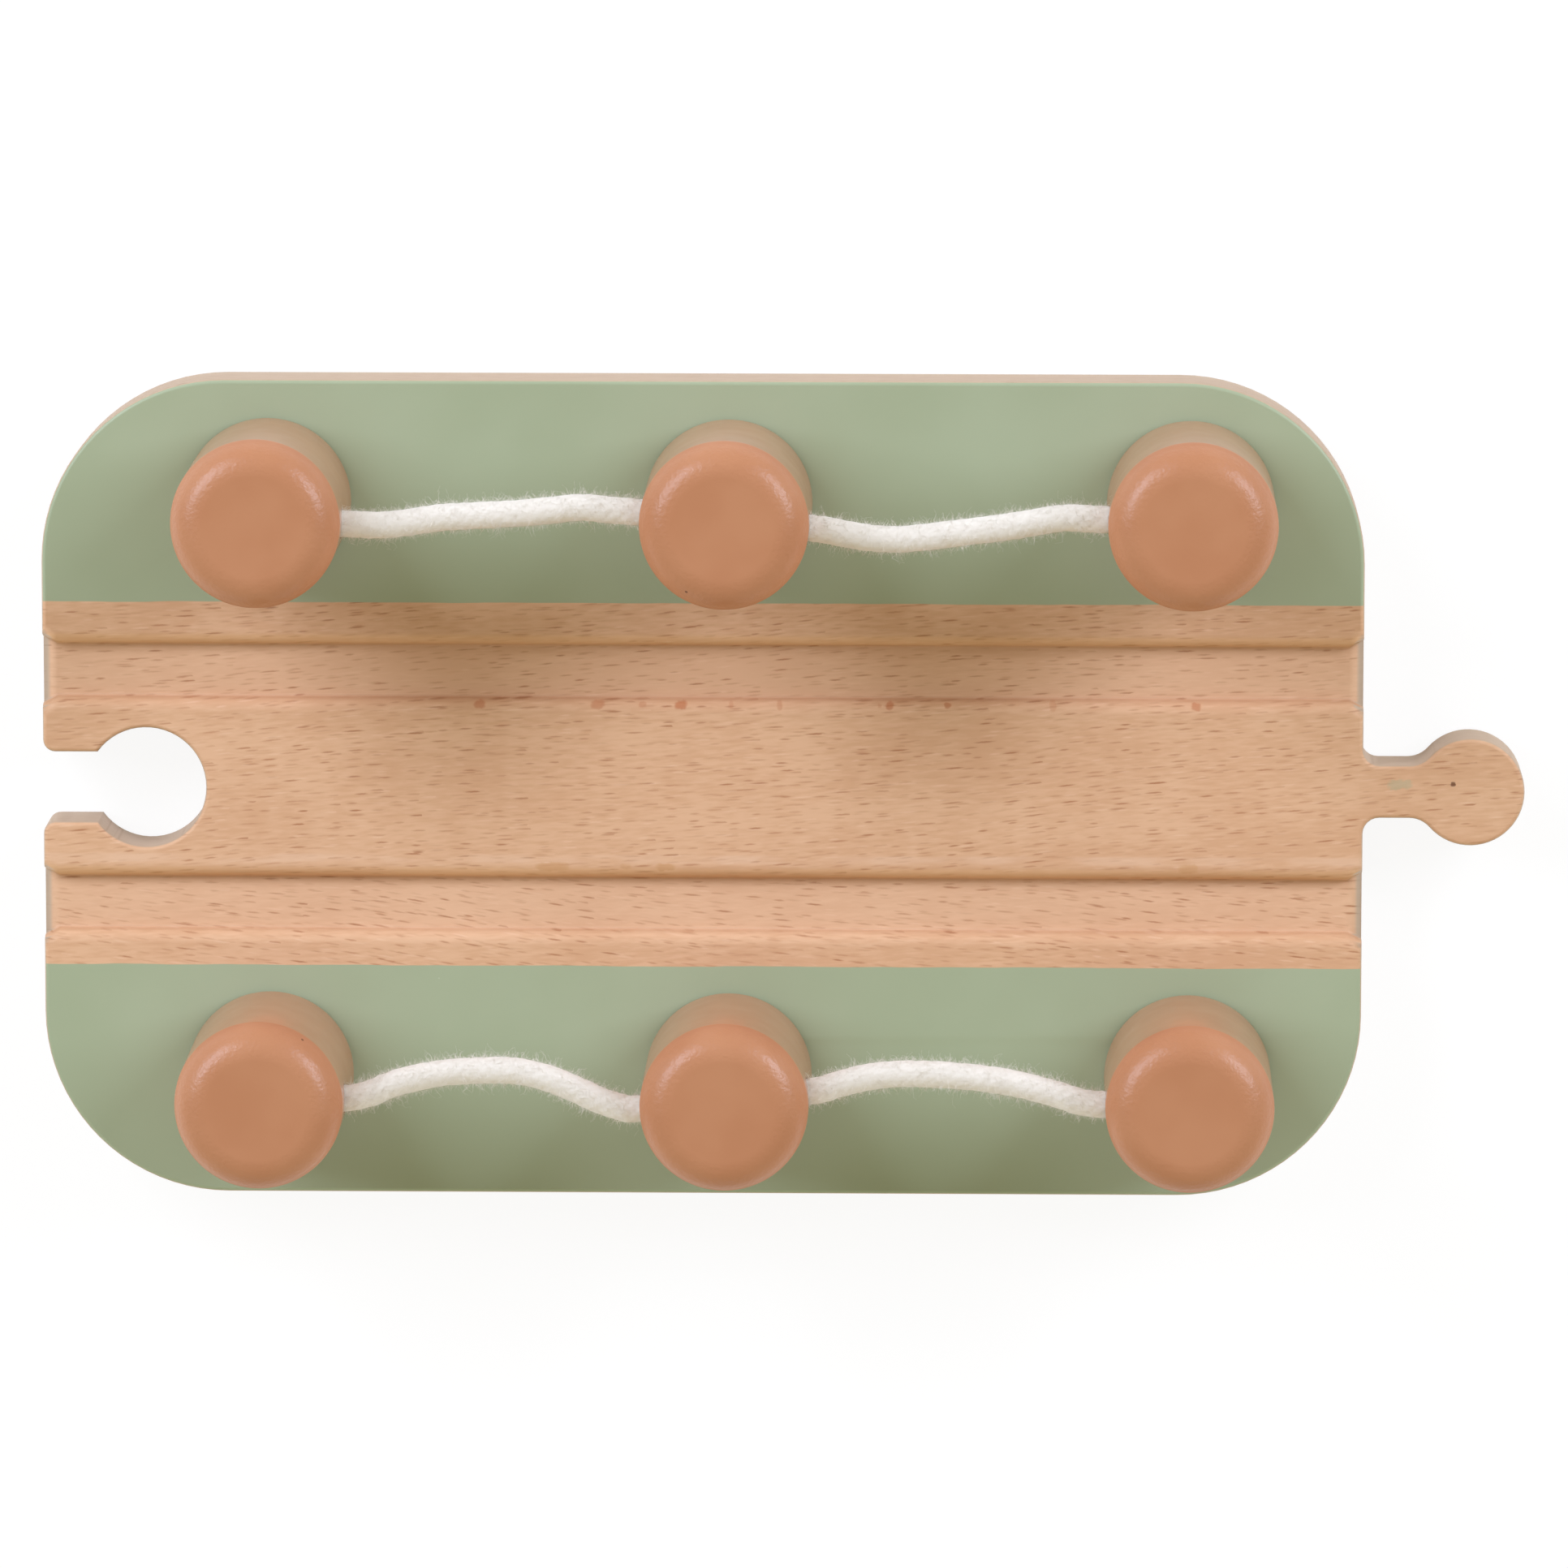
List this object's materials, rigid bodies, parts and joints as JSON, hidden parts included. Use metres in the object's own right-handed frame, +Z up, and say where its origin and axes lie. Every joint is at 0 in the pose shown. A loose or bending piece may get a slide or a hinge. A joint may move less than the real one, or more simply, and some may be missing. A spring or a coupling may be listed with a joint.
{
  "type": "toy railway track section",
  "caption": "Straight wooden railway track section with peg and socket ends, sage painted margins and turned posts that carry rope railings",
  "frame": {"origin": "centre of the deck board's flat underside", "axes": "+X along the track towards the peg, +Y across the track towards the far row of posts, +Z up"},
  "size_m": [0.1616, 0.0896, 0.032],
  "materials": {
    "deck_beech": "sanded and clear-oiled beech with two sage green painted margins on the top face",
    "post_paint": "turned wood in satin terracotta paint",
    "dowel_wood": "plain beech dowel",
    "rope_cotton": "soft undyed cotton cord with loose fibres"
  },
  "bodies": {
    "root": {"deck_board": "deck_beech", "post_socket_far": "post_paint", "post_middle_far": "post_paint", "post_peg_far": "post_paint", "post_socket_near": "post_paint", "post_middle_near": "post_paint", "post_peg_near": "post_paint", "dowel_socket_far": "dowel_wood", "dowel_middle_far": "dowel_wood", "dowel_peg_far": "dowel_wood", "dowel_socket_near": "dowel_wood", "dowel_middle_near": "dowel_wood", "dowel_peg_near": "dowel_wood", "rope_far": "rope_cotton", "rope_near": "rope_cotton"}
  },
  "joints": []
}
